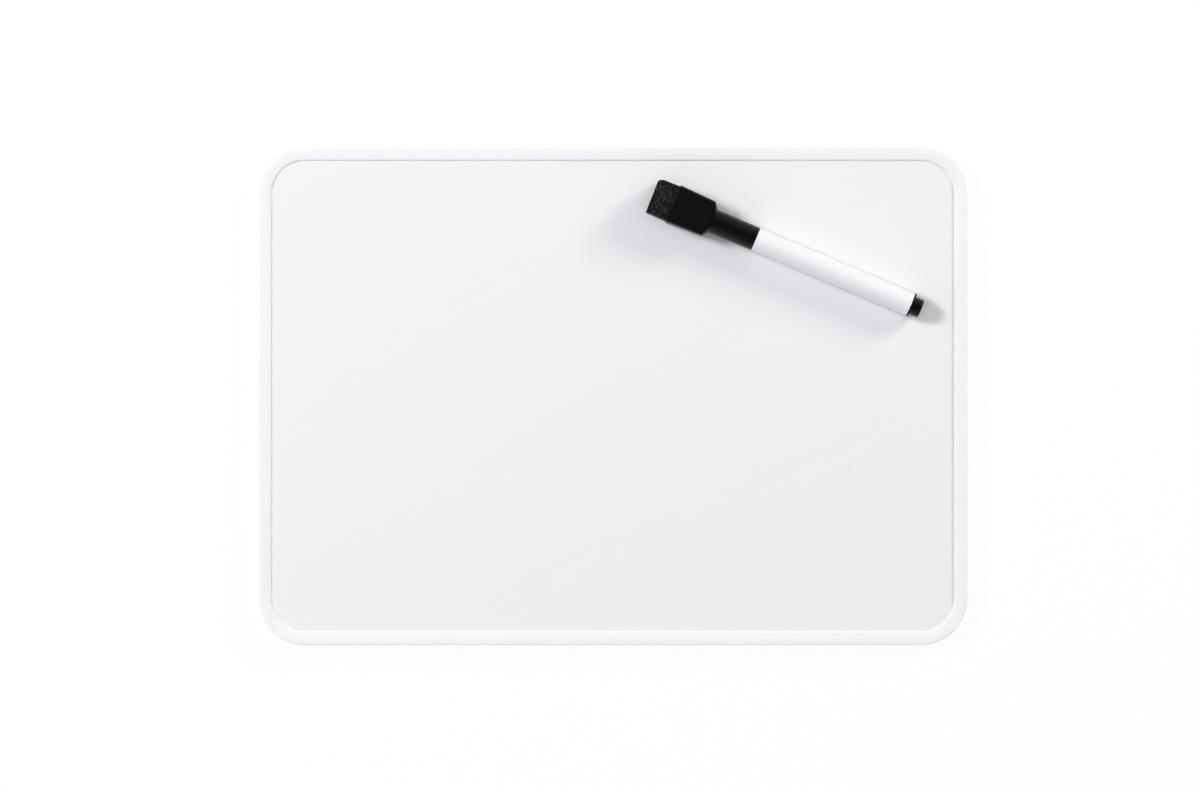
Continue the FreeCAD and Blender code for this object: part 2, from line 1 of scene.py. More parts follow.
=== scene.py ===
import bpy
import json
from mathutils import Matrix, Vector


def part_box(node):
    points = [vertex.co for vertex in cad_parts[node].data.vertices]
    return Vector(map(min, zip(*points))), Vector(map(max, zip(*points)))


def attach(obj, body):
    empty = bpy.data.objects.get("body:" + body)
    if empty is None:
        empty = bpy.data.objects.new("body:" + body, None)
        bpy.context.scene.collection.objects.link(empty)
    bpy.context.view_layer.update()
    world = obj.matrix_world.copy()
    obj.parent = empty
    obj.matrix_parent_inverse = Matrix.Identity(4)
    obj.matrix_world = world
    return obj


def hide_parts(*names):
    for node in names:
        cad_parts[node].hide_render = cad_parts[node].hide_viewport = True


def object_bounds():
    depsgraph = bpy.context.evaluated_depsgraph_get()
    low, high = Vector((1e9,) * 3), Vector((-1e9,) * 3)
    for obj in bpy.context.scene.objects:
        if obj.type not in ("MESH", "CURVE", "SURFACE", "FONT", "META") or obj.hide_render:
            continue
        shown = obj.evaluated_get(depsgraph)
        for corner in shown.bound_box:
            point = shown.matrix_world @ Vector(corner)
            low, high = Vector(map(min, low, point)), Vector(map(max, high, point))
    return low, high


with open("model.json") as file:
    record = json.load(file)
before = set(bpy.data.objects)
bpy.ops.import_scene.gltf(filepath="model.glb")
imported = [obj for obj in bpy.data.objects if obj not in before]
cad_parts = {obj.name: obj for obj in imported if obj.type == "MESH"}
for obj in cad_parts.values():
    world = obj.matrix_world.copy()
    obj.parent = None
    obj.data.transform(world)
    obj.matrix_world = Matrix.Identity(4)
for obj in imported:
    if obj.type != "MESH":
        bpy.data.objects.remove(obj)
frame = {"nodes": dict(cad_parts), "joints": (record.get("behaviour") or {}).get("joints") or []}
CAD_BOX = [list(corner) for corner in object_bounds()]

import json
import math

import bmesh
import bpy
import numpy as np
from bpy.props import FloatProperty, FloatVectorProperty, IntProperty, PointerProperty
from bpy.types import Operator, Panel, PropertyGroup
from mathutils import Vector

bl_info = {
    "name": "Dry-erase lap board",
    "version": (1, 0, 0),
    "blender": (4, 5, 0),
    "location": "View3D > Sidebar > Lap Board",
    "description": "Dresses the packed lap board and its capped marker, and sets them in a plain studio",
    "category": "Object",
}

MM = 0.001


def linear(hex_code):
    """An sRGB hex colour as linear red, green and blue."""
    levels = [int(hex_code[i:i + 2], 16) / 255 for i in (1, 3, 5)]
    return tuple(v / 12.92 if v <= 0.04045 else ((v + 0.055) / 1.055) ** 2.4 for v in levels)


def colour(name, description, hex_code):
    """A colour that a user may change, written as sRGB."""
    return FloatVectorProperty(
        name=name, description=description, subtype="COLOR", size=3, min=0, max=1, default=linear(hex_code)
    )


def length(name, description, millimetres):
    """A length that a user may change, shown in the scene's unit."""
    return FloatProperty(
        name=name, description=description, unit="LENGTH", subtype="DISTANCE", precision=5,
        default=millimetres * MM,
    )


def level(name, description, share):
    """A brightness that a user may change, where 1 is white."""
    return FloatProperty(name=name, description=description, default=share, min=0, precision=3)


class BoardFinish(PropertyGroup):
    """Colours and surface sizes of the frame and the writing panel."""

    frame_colour: colour("Frame", "Satin white of the moulded frame", "#F4F4F7")
    film_colour: colour("Writing film", "Cool white of the dry-erase film", "#F1F1F3")
    speck_colour: colour("Dry ink speck", "What is left of old ink after wiping", "#B9B9BF")
    # Painted shade: the colour of a shadow line painted along the right lip.
    painted_lip_shade_colour: colour("Ink dust", "Wiped ink dust along the lip", "#D0D0D5")
    core_colour: colour("Hardboard", "Brown of the pressed wood fibre", "#7A5A3C")
    backing_colour: colour("Backing", "Off-white of the paper on the panel's back", "#E2E1DC")
    grain: length("Mould grain", "Spacing of the frame's moulded grain", 0.8)
    streak: length("Wipe streak", "Spacing of the wipe marks across the film", 5.0)
    speck_cell: length("Speck spacing", "Mean distance between specks of old ink", 34.0)
    speck_radius: length("Speck radius", "Size of a speck of old ink", 0.32)
    lip_width: length("Lip width", "How far the frame's lip reaches in from the outline", 5.6)
    # How far the painted lip shadow reaches in from the right lip.
    painted_lip_shade_width: length("Dust width", "How far the ink dust reaches in from the lip", 2.6)


class MarkerFinish(PropertyGroup):
    """Colours and surface sizes of the marker's hard pieces."""

    barrel_colour: colour("Barrel", "Gloss white of the barrel", "#F0F0F2")
    cap_colour: colour("Cap", "Black of the cap and the end plug", "#070707")
    nib_colour: colour("Nib", "Ink-black fibre of the nib", "#141416")
    ink_colour: colour("Ink rod", "Fibre rod full of black ink", "#1B1A20")
    wrap_colour: colour("Wrap film", "Clear film round the ink rod", "#DDE3E6")
    block_grain: length("Block grain", "Spacing of the block's matt grain", 0.35)


class FeltShape(PropertyGroup):
    """Sizes and colours of the felt eraser."""

    shade: colour("Felt shade", "Charcoal between the fibres", "#040405")
    light: colour("Felt fibres", "Pale fibres on the charcoal", "#3F3F3F")
    spacing: length("Mesh spacing", "Distance between points of the felt's surface", 0.17)
    edge_round: length("Edge rounding", "Rounding of the long edges", 0.8)
    end_round: length("End rounding", "Rounding of the cut end's edges", 0.35)
    trim_length: length("Trim length", "How far the trimmed corner runs back along the felt", 2.8)
    trim_depth: length("Trim depth", "How far the trimmed corner runs across the end", 1.25)
    end_skew: length("End skew", "How much shorter the felt is on its lower side", 0.42)
    fibre_length: length("Fibre length", "Mean length of a fibre on the surface", 0.9)
    fibre_width: length("Fibre width", "Width of a fibre's ridge, drawn coarse so that it shows", 0.17)
    relief: length("Relief", "Height of the fibres' ridges", 0.1)
    fibre_count: IntProperty(name="Fibres", description="How many fibres stand out", default=2400, min=1)
    seed: IntProperty(name="Seed", description="Start of the random draws", default=7, min=0)


class StudioSettings(PropertyGroup):
    """Camera, lamps and floor."""

    camera_distance: length("Camera distance", "From the camera down to the board", 1500.0)
    view_width: length("View width", "Width of the board's plane that the image takes in", 505.0)
    view_offset: length("View offset", "How far left of the board's middle the camera stands", 5.4)
    left_light: level("Left softbox", "Light from the left lamp on a level white surface", 0.44)
    right_light: level("Right softbox", "Light from the low right lamp on a level white surface", 0.18)
    top_light: level("Overhead light", "Light from above on a level white surface", 0.331)
    room_light: level("Room light", "Brightness of the room's walls", 0.37)
    left_tint: colour("Left tint", "Colour of the left lamp", "#FEFFFC")
    right_tint: colour("Right tint", "Slightly warm colour of the right lamp", "#FBFFF2")
    fill_tint: colour("Fill tint", "Slightly violet colour of the overhead light and the room", "#F9F6FF")
    floor_colour: colour("Floor", "White sweep under the board", "#F7F7F7")


def add_node(tree, kind, links=None, values=None, **settings):
    """Adds a node with its settings, its sockets' own values, and links from other nodes' outputs.

    The settings come first, because a Mix node's data type decides which of its sockets a name stands for.
    """
    node = tree.nodes.new(kind)
    for name, value in settings.items():
        setattr(node, name, value)
    for socket, value in (values or {}).items():
        node.inputs[socket].default_value = value
    for socket, source in (links or {}).items():
        tree.links.new(source, node.inputs[socket])
    return node


def new_material(name):
    """An empty node material and its tree."""
    material = bpy.data.materials.new(name)
    material.use_nodes = True
    material.node_tree.nodes.clear()
    return material, material.node_tree


def opaque(rgb):
    """A colour with full alpha."""
    return (*rgb, 1.0)


def scaled(rgb, share):
    """A colour made lighter or darker by a share of itself."""
    return opaque(min(1.0, v * share) for v in rgb)


def per_metre(spacing):
    """A texture's scale from the real spacing of its pattern."""
    return 1 / spacing


def dress(material, *names):
    """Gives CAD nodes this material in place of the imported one."""
    for name in names:
        mesh = frame["nodes"][name].data
        mesh.materials.clear()
        mesh.materials.append(material)
        mesh.polygons.foreach_set("material_index", np.zeros(len(mesh.polygons), np.int32))


# Materials of the board

def moulded_abs(finish):
    """Injection-moulded white ABS. A fine spark-eroded grain breaks its highlights into a satin sheen."""
    material, tree = new_material("moulded_abs_satin_white")
    place = add_node(tree, "ShaderNodeTexCoord").outputs["Object"]
    grain = add_node(
        tree, "ShaderNodeTexNoise", {"Vector": place}, {"Scale": per_metre(finish.grain), "Detail": 4.0}
    )
    cloud = add_node(
        tree, "ShaderNodeTexNoise", {"Vector": place}, {"Scale": per_metre(40 * MM), "Detail": 3.0}
    )
    tint = add_node(
        tree, "ShaderNodeMix", {"Factor": cloud.outputs["Fac"]},
        {"A": scaled(finish.frame_colour, 0.985), "B": scaled(finish.frame_colour, 1.015)},
        data_type="RGBA",
    )
    rough = add_node(
        tree, "ShaderNodeMapRange", {"Value": grain.outputs["Fac"]}, {"To Min": 0.36, "To Max": 0.52}
    )
    bump = add_node(
        tree, "ShaderNodeBump", {"Height": grain.outputs["Fac"]}, {"Strength": 0.12, "Distance": 0.02 * MM}
    )
    surface = add_node(
        tree, "ShaderNodeBsdfPrincipled",
        links={
            "Base Color": tint.outputs["Result"],
            "Roughness": rough.outputs["Result"],
            "Normal": bump.outputs["Normal"],
        },
        values={"IOR": 1.53},
    )
    add_node(tree, "ShaderNodeOutputMaterial", {"Surface": surface.outputs["BSDF"]})
    return material


def dry_erase_film(finish):
    """Hard-coated dry-erase film. It is glossy and even, with faint wipe marks and a few ink specks.

    A thin line of painted shade, standing in for the lip's shadow, darkens the film along the lip on the
    right.
    """
    material, tree = new_material("dry_erase_film_gloss_white")
    place = add_node(tree, "ShaderNodeTexCoord").outputs["Object"]
    # A wipe mark runs at a slant, as an arm swings, and is eight times as long as it is wide.
    swing, stretch = math.radians(28), 8.0
    slant = add_node(
        tree, "ShaderNodeMapping", {"Vector": place},
        {"Rotation": (0.0, 0.0, swing), "Scale": (stretch, 1.0, 1.0)}, vector_type="TEXTURE",
    )
    streaks = add_node(
        tree, "ShaderNodeTexNoise", {"Vector": slant.outputs["Vector"]},
        {"Scale": per_metre(finish.streak), "Detail": 5.0, "Roughness": 0.62},
    )
    cells = add_node(
        tree, "ShaderNodeTexVoronoi", {"Vector": place}, {"Scale": per_metre(finish.speck_cell)},
        voronoi_dimensions="2D",
    )
    # A speck is a disc with a soft rim about a cell's point, in the few cells whose random red is high.
    edge = finish.speck_radius / finish.speck_cell
    soft_from, rare_from, strongest = 0.4 * edge, 0.8, 0.6
    disc = add_node(
        tree, "ShaderNodeMapRange", {"Value": cells.outputs["Distance"]},
        {"From Min": soft_from, "From Max": edge, "To Min": 1.0, "To Max": 0.0},
    )
    chance = add_node(tree, "ShaderNodeSeparateColor", {"Color": cells.outputs["Color"]})
    few = add_node(
        tree, "ShaderNodeMapRange", {"Value": chance.outputs["Red"]},
        {"From Min": rare_from, "From Max": 1.0, "To Min": 0.0, "To Max": strongest},
    )
    speck = add_node(
        tree, "ShaderNodeMath", {0: disc.outputs["Result"], 1: few.outputs["Result"]}, operation="MULTIPLY"
    )
    wiped = add_node(
        tree, "ShaderNodeMix", {"Factor": streaks.outputs["Fac"]},
        {"A": scaled(finish.film_colour, 0.992), "B": scaled(finish.film_colour, 1.008)},
        data_type="RGBA",
    )
    marked = add_node(
        tree, "ShaderNodeMix", {"Factor": speck.outputs["Value"], "A": wiped.outputs["Result"]},
        {"B": opaque(finish.speck_colour)}, data_type="RGBA",
    )
    # The painted lip shadow darkens as a power of the way to the lip.
    shade_darkening = 3.0
    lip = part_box("front_frame")[1].x - finish.lip_width
    parts = add_node(tree, "ShaderNodeSeparateXYZ", {"Vector": place})
    way = add_node(
        tree, "ShaderNodeMapRange", {"Value": parts.outputs["X"]},
        {"From Min": lip - finish.painted_lip_shade_width, "From Max": lip},
    )
    painted_lip_shade = add_node(tree, "ShaderNodeMath", {0: way.outputs["Result"]}, {1: shade_darkening}, operation="POWER")
    # Painted shade: the film is mixed towards the shade colour close to the right lip.
    tint = add_node(
        tree, "ShaderNodeMix", {"Factor": painted_lip_shade.outputs["Value"], "A": marked.outputs["Result"]},
        {"B": opaque(finish.painted_lip_shade_colour)}, data_type="RGBA",
    )
    rough = add_node(
        tree, "ShaderNodeMapRange", {"Value": streaks.outputs["Fac"]}, {"To Min": 0.13, "To Max": 0.25}
    )
    surface = add_node(
        tree, "ShaderNodeBsdfPrincipled",
        links={"Base Color": tint.outputs["Result"], "Roughness": rough.outputs["Result"]},
        values={"IOR": 1.5},
    )
    add_node(tree, "ShaderNodeOutputMaterial", {"Surface": surface.outputs["BSDF"]})
    return material


def hardboard(finish):
    """Pressed wood fibre. Brown, matt and mottled, with fine strands in every direction."""
    material, tree = new_material("hardboard_pressed_fibre")
    place = add_node(tree, "ShaderNodeTexCoord").outputs["Object"]
    strands = add_node(
        tree, "ShaderNodeTexNoise", {"Vector": place},
        {"Scale": per_metre(1.2 * MM), "Detail": 6.0, "Distortion": 1.4},
    )
    tint = add_node(
        tree, "ShaderNodeMix", {"Factor": strands.outputs["Fac"]},
        {"A": scaled(finish.core_colour, 0.6), "B": scaled(finish.core_colour, 1.4)}, data_type="RGBA",
    )
    bump = add_node(
        tree, "ShaderNodeBump", {"Height": strands.outputs["Fac"]}, {"Strength": 0.4, "Distance": 0.1 * MM}
    )
    surface = add_node(
        tree, "ShaderNodeBsdfPrincipled",
        links={"Base Color": tint.outputs["Result"], "Normal": bump.outputs["Normal"]},
        values={"Roughness": 0.85},
    )
    add_node(tree, "ShaderNodeOutputMaterial", {"Surface": surface.outputs["BSDF"]})
    return material


def backing_paper(finish):
    """Paper-faced balancing sheet. Off-white and matt, clouded as paper is, with short flecks of fibre."""
    material, tree = new_material("backing_paper_matt")
    place = add_node(tree, "ShaderNodeTexCoord").outputs["Object"]
    clouds = add_node(
        tree, "ShaderNodeTexNoise", {"Vector": place}, {"Scale": per_metre(9 * MM), "Detail": 6.0}
    )
    flecks = add_node(
        tree, "ShaderNodeTexNoise", {"Vector": place},
        {"Scale": per_metre(1.1 * MM), "Detail": 3.0, "Distortion": 2.0},
    )
    mottle = add_node(
        tree, "ShaderNodeMath", {0: clouds.outputs["Fac"], 1: flecks.outputs["Fac"]}, operation="MULTIPLY"
    )
    tint = add_node(
        tree, "ShaderNodeMix", {"Factor": mottle.outputs["Value"]},
        {"A": scaled(finish.backing_colour, 1.06), "B": scaled(finish.backing_colour, 0.82)},
        data_type="RGBA",
    )
    bump = add_node(
        tree, "ShaderNodeBump", {"Height": flecks.outputs["Fac"]}, {"Strength": 0.25, "Distance": 0.04 * MM}
    )
    surface = add_node(
        tree, "ShaderNodeBsdfPrincipled",
        links={"Base Color": tint.outputs["Result"], "Normal": bump.outputs["Normal"]},
        values={"Roughness": 0.72},
    )
    add_node(tree, "ShaderNodeOutputMaterial", {"Surface": surface.outputs["BSDF"]})
    return material


# Materials of the marker

def marker_lines():
    """The marker's directions and middle line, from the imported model.

    Along runs from tail to felt and is the cap's own sliding direction, side is level, and up completes the
    three. The middle is halfway between the barrel's outermost points in side and up.
    """
    pull = next(joint for joint in frame["joints"] if joint["name"] == "cap_pull")
    along = np.array(pull["axis"]) / np.linalg.norm(pull["axis"])
    side = np.cross((0.0, 0.0, 1.0), along)
    side /= np.linalg.norm(side)
    up = np.cross(along, side)
    barrel = node_points("barrel")
    middle = sum(((barrel @ d).max() + (barrel @ d).min()) / 2 * d for d in (side, up))
    return along, side, up, middle


def node_points(name):
    """A CAD node's points as an array of rows."""
    points = frame["nodes"][name].data.vertices
    flat = np.empty(len(points) * 3, np.float32)
    points.foreach_get("co", flat)
    return flat.reshape(-1, 3).astype(float)


def marker_turn():
    """How far the marker is turned about the vertical, from +X to its along direction."""
    along = marker_lines()[0]
    return math.atan2(along[1], along[0])


def gloss_barrel(finish):
    """Moulded white polypropylene. It is bright, with a clean gloss and a trace of flow along the tube."""
    material, tree = new_material("polypropylene_gloss_white")
    place = add_node(tree, "ShaderNodeTexCoord").outputs["Object"]
    # A flow line is twelve times as long as it is wide.
    stretch = 12.0
    drawn = add_node(
        tree, "ShaderNodeMapping", {"Vector": place},
        {"Rotation": (0.0, 0.0, marker_turn()), "Scale": (stretch, 1.0, 1.0)}, vector_type="TEXTURE",
    )
    flow = add_node(
        tree, "ShaderNodeTexNoise", {"Vector": drawn.outputs["Vector"]},
        {"Scale": per_metre(0.9 * MM), "Detail": 3.0},
    )
    tint = add_node(
        tree, "ShaderNodeMix", {"Factor": flow.outputs["Fac"]},
        {"A": scaled(finish.barrel_colour, 0.985), "B": scaled(finish.barrel_colour, 1.01)},
        data_type="RGBA",
    )
    rough = add_node(
        tree, "ShaderNodeMapRange", {"Value": flow.outputs["Fac"]}, {"To Min": 0.2, "To Max": 0.3}
    )
    surface = add_node(
        tree, "ShaderNodeBsdfPrincipled",
        links={"Base Color": tint.outputs["Result"], "Roughness": rough.outputs["Result"]},
        values={"IOR": 1.49},
    )
    add_node(tree, "ShaderNodeOutputMaterial", {"Surface": surface.outputs["BSDF"]})
    return material


def black_cap(finish):
    """Moulded black polypropylene. The neck is polished smooth, and the block has a fine matt grain."""
    material, tree = new_material("polypropylene_black_cap")
    along = marker_lines()[0]
    felt_back = (node_points("eraser_felt") @ along).min()
    # The grain comes in over the shoulder, which lies about this far behind the felt's seat.
    shoulder = felt_back - 11.2 * MM
    fade, neck_roughness = 1.0 * MM, 0.33
    place = add_node(tree, "ShaderNodeTexCoord").outputs["Object"]
    station = add_node(
        tree, "ShaderNodeVectorMath", {0: place}, {1: tuple(along)}, operation="DOT_PRODUCT"
    )
    block = add_node(
        tree, "ShaderNodeMapRange", {"Value": station.outputs["Value"]},
        {"From Min": shoulder - fade, "From Max": shoulder + fade},
    )
    grain = add_node(
        tree, "ShaderNodeTexNoise", {"Vector": place}, {"Scale": per_metre(finish.block_grain), "Detail": 4.0}
    )
    matt = add_node(
        tree, "ShaderNodeMapRange", {"Value": grain.outputs["Fac"]}, {"To Min": 0.34, "To Max": 0.42}
    )
    rough = add_node(
        tree, "ShaderNodeMix", {"Factor": block.outputs["Result"], "B": matt.outputs["Result"]},
        {"A": neck_roughness},
    )
    tint = add_node(
        tree, "ShaderNodeMix", {"Factor": grain.outputs["Fac"]},
        {"A": scaled(finish.cap_colour, 0.8), "B": scaled(finish.cap_colour, 1.25)}, data_type="RGBA",
    )
    depth = add_node(
        tree, "ShaderNodeMath", {0: grain.outputs["Fac"], 1: block.outputs["Result"]}, operation="MULTIPLY"
    )
    bump = add_node(
        tree, "ShaderNodeBump", {"Height": depth.outputs["Value"]}, {"Strength": 0.25, "Distance": 0.03 * MM}
    )
    surface = add_node(
        tree, "ShaderNodeBsdfPrincipled",
        links={
            "Base Color": tint.outputs["Result"],
            "Roughness": rough.outputs["Result"],
            "Normal": bump.outputs["Normal"],
        },
        values={"IOR": 1.49, "Specular IOR Level": 0.3},
    )
    add_node(tree, "ShaderNodeOutputMaterial", {"Surface": surface.outputs["BSDF"]})
    return material


def black_plug(finish):
    """Moulded black polypropylene with a satin finish, slightly clouded as an unpainted moulding is."""
    material, tree = new_material("polypropylene_black_plug")
    place = add_node(tree, "ShaderNodeTexCoord").outputs["Object"]
    grain = add_node(
        tree, "ShaderNodeTexNoise", {"Vector": place}, {"Scale": per_metre(0.6 * MM), "Detail": 3.0}
    )
    tint = add_node(
        tree, "ShaderNodeMix", {"Factor": grain.outputs["Fac"]},
        {"A": scaled(finish.cap_colour, 1.1), "B": scaled(finish.cap_colour, 1.9)}, data_type="RGBA",
    )
    rough = add_node(
        tree, "ShaderNodeMapRange", {"Value": grain.outputs["Fac"]}, {"To Min": 0.24, "To Max": 0.34}
    )
    surface = add_node(
        tree, "ShaderNodeBsdfPrincipled",
        links={"Base Color": tint.outputs["Result"], "Roughness": rough.outputs["Result"]},
        values={"IOR": 1.49, "Specular IOR Level": 0.3},
    )
    add_node(tree, "ShaderNodeOutputMaterial", {"Surface": surface.outputs["BSDF"]})
    return material


def fibre_rod(name, rgb, roughness, spacing):
    """A rod of drawn fibres, as a nib or an ink rod is. Fine lines run along it, and it is matt with ink."""
    material, tree = new_material(name)
    place = add_node(tree, "ShaderNodeTexCoord").outputs["Object"]
    # A fibre's line is twenty times as long as it is wide.
    stretch = 20.0
    drawn = add_node(
        tree, "ShaderNodeMapping", {"Vector": place},
        {"Rotation": (0.0, 0.0, marker_turn()), "Scale": (stretch, 1.0, 1.0)}, vector_type="TEXTURE",
    )
    lines = add_node(
        tree, "ShaderNodeTexNoise", {"Vector": drawn.outputs["Vector"]},
        {"Scale": per_metre(spacing), "Detail": 4.0},
    )
    tint = add_node(
        tree, "ShaderNodeMix", {"Factor": lines.outputs["Fac"]},
        {"A": scaled(rgb, 0.6), "B": scaled(rgb, 1.8)}, data_type="RGBA",
    )
    bump = add_node(
        tree, "ShaderNodeBump", {"Height": lines.outputs["Fac"]}, {"Strength": 0.5, "Distance": 0.05 * MM}
    )
    surface = add_node(
        tree, "ShaderNodeBsdfPrincipled",
        links={"Base Color": tint.outputs["Result"], "Normal": bump.outputs["Normal"]},
        values={"Roughness": roughness},
    )
    add_node(tree, "ShaderNodeOutputMaterial", {"Surface": surface.outputs["BSDF"]})
    return material


def wrap_film(finish):
    """Thin clear polymer wrap. It lets the ink rod show through, with a soft shine and slight ripples."""
    material, tree = new_material("polymer_wrap_film_clear")
    place = add_node(tree, "ShaderNodeTexCoord").outputs["Object"]
    ripple = add_node(
        tree, "ShaderNodeTexNoise", {"Vector": place}, {"Scale": per_metre(2.5 * MM), "Detail": 2.0}
    )
    bump = add_node(
        tree, "ShaderNodeBump", {"Height": ripple.outputs["Fac"]}, {"Strength": 0.3, "Distance": 0.05 * MM}
    )
    rough = add_node(
        tree, "ShaderNodeMapRange", {"Value": ripple.outputs["Fac"]}, {"To Min": 0.12, "To Max": 0.25}
    )
    tint = add_node(
        tree, "ShaderNodeMix", {"Factor": ripple.outputs["Fac"]},
        {"A": scaled(finish.wrap_colour, 0.94), "B": scaled(finish.wrap_colour, 1.04)}, data_type="RGBA",
    )
    surface = add_node(
        tree, "ShaderNodeBsdfPrincipled",
        links={
            "Base Color": tint.outputs["Result"],
            "Roughness": rough.outputs["Result"],
            "Normal": bump.outputs["Normal"],
        },
        values={"Transmission Weight": 0.85, "IOR": 1.45},
    )
    add_node(tree, "ShaderNodeOutputMaterial", {"Surface": surface.outputs["BSDF"]})
    return material


# The felt eraser

def felt_rings(shape, seat, end, half_height):
    """The felt's rings from its seat to the middle of its cut end: station, inset and turn of the normal.

    Along the sides the rings are one spacing apart. Round the end's edge the station follows a sine and the
    inset a cosine of the turn, from the sides to the end face. On the end face the inset grows to the half
    height, so the last ring is a line and closes the face.
    """
    step, edge, edge_steps = shape.spacing, shape.end_round, 4
    count = int((end - edge - seat) / step) + 1
    sides = np.linspace(seat, end - edge, count)
    turns = np.linspace(0, math.pi / 2, edge_steps + 1)[1:]
    insets = np.linspace(edge, half_height, int((half_height - edge) / step) + 1)[1:]
    station = np.concatenate((sides, end - edge + edge * np.sin(turns), np.full(len(insets), end)))
    inset = np.concatenate((np.zeros(count), edge - edge * np.cos(turns), insets))
    turn = np.concatenate((np.zeros(count), turns, np.full(len(insets), math.pi / 2)))
    return station, inset, turn


def rounded_profile(shape, half_width, half_height):
    """Points round a rounded rectangle, as a place in the unit rectangle and an outward normal for each.

    A point is the unit place times the half sizes less the radius, plus the normal times the radius. Straight
    runs change the place and keep the normal, and corners keep the place and turn the normal.
    """
    step, radius, corner_steps = shape.spacing, shape.edge_round, 6
    across = np.linspace(-1, 1, int(2 * (half_width - radius) / step), endpoint=False)
    tall = np.linspace(-1, 1, int(2 * (half_height - radius) / step), endpoint=False)
    bend = np.linspace(0, math.pi / 2, corner_steps, endpoint=False)
    places, angles = [], []
    for quarter in range(4):
        run = across if quarter % 2 == 0 else tall
        facing = (quarter - 1) * math.pi / 2
        ahead = np.array((math.cos(facing + math.pi / 2), math.sin(facing + math.pi / 2)))
        out = np.array((math.cos(facing), math.sin(facing)))
        places += [out + run[:, None] * ahead, np.repeat((out + ahead)[None], len(bend), axis=0)]
        angles += [np.full(len(run), facing), facing + bend]
    angle = np.concatenate(angles)
    return np.concatenate(places), np.stack((np.cos(angle), np.sin(angle)), axis=1)


def fibre_ridges(shape, points, normals):
    """How strongly each point lies on one of many random fibres, from 0 to 1.

    A fibre is a short straight line in the surface at a random point and in a random direction. A point's
    value is the greatest, over all fibres, of the fibre's strength times a Gaussian of the distance to it.
    """
    draw = np.random.default_rng(shape.seed)
    pick = draw.integers(len(points), size=shape.fibre_count)
    heading = np.cross(normals[pick], draw.normal(size=(shape.fibre_count, 3)))
    heading /= np.linalg.norm(heading, axis=1, keepdims=True)
    half = shape.fibre_length * draw.uniform(0.25, 0.75, shape.fibre_count)
    width = shape.fibre_width * draw.uniform(0.6, 1.4, shape.fibre_count)
    strength = draw.uniform(0.25, 1.0, shape.fibre_count)
    ridge = np.zeros(len(points))
    # Fibres are taken a batch at a time, which keeps the arrays small.
    batch = 40
    for start in range(0, shape.fibre_count, batch):
        chunk = slice(start, start + batch)
        offset = points[:, None] - points[pick[chunk]][None]
        reach = np.einsum("pfk,fk->pf", offset, heading[chunk])
        held = np.clip(reach, -half[chunk], half[chunk])
        gap = offset - held[..., None] * heading[chunk]
        near = np.einsum("pfk,pfk->pf", gap, gap) / width[chunk] ** 2
        ridge = np.maximum(ridge, (strength[chunk] * np.exp(-near)).max(axis=1))
    return ridge


def smooth_step(low, high, value):
    """0 below low, 1 above high, and a smooth cubic between."""
    t = np.clip((value - low) / (high - low), 0, 1)
    return t * t * (3 - 2 * t)


def felt_surface(shape):
    """The felt as rows of points, with each point's share of fibre, in the marker's own directions.

    A rounded profile is carried along the marker's line. Past the start of the trim, the upper side comes in
    to the trim's depth, as the square of the way along the trim. The cut end leans by the skew. Outside the
    cap's mouth the surface rises along its normal by the fibres' relief and a slow wave.
    """
    along, side, up, middle = marker_lines()
    solid = node_points("eraser_felt")
    seat, end = (solid @ along).min(), (solid @ along).max()
    mouth = (node_points("cap") @ along).max()
    half_width = np.ptp(solid @ side) / 2
    half_height = np.ptp(solid @ up) / 2
    station, inset, turn = felt_rings(shape, seat, end, half_height)
    place, normal = rounded_profile(shape, half_width, half_height)

    trim = shape.trim_depth * np.clip((station - end + shape.trim_length) / shape.trim_length, 0, 1) ** 2
    radius = np.maximum(shape.edge_round - inset, 0)[:, None]
    wide = (half_width - trim / 2 - inset)[:, None] - radius
    tall = (half_height - inset)[:, None] - radius
    y = trim[:, None] / 2 + place[:, 0] * wide + normal[:, 0] * radius
    z = place[:, 1] * tall + normal[:, 1] * radius
    lean = smooth_step(mouth, end, station)[:, None] * (y / half_width + 1) / 2
    x = station[:, None] - shape.end_skew * lean

    across = normal[:, :1] * side + normal[:, 1:] * up
    facing = np.cos(turn)[:, None, None] * across + np.sin(turn)[:, None, None] * along
    points = middle + x[..., None] * along + y[..., None] * side + z[..., None] * up
    flat_points, flat_normals = points.reshape(-1, 3), facing.reshape(-1, 3)
    ridge = fibre_ridges(shape, flat_points, flat_normals)
    wave_along, wave_across, shift = 1.9 * MM, 1.3 * MM, 0.7
    swell, lead_in, mean_ridge = 0.05 * MM, 0.6 * MM, 0.3
    wave = np.sin(flat_points @ along / wave_along) * np.sin(flat_points @ side / wave_across + shift)
    outside = smooth_step(mouth, mouth + lead_in, flat_points @ along)
    rise = outside * (shape.relief * (ridge - mean_ridge) + swell * wave)
    return flat_points + rise[:, None] * flat_normals, ridge, points.shape[:2]


def grid_faces(rows, columns):
    """Quads between rows of points that each close on themselves."""
    corner = np.arange(rows * columns).reshape(rows, columns)
    after = np.roll(corner, -1, axis=1)
    return np.stack((corner[:-1], after[:-1], after[1:], corner[1:]), axis=-1).reshape(-1, 4)


def new_mesh(name, points, faces, attribute, values):
    """A smooth mesh object at the origin with one value for each point."""
    mesh = bpy.data.meshes.new(name)
    mesh.from_pydata(points.tolist(), [], faces.tolist())
    mesh.attributes.new(attribute, "FLOAT", "POINT").data.foreach_set("value", values.astype(np.float32))
    mesh.polygons.foreach_set("use_smooth", np.ones(len(mesh.polygons), bool))
    piece = bpy.data.objects.new(name, mesh)
    bpy.context.scene.collection.objects.link(piece)
    return piece


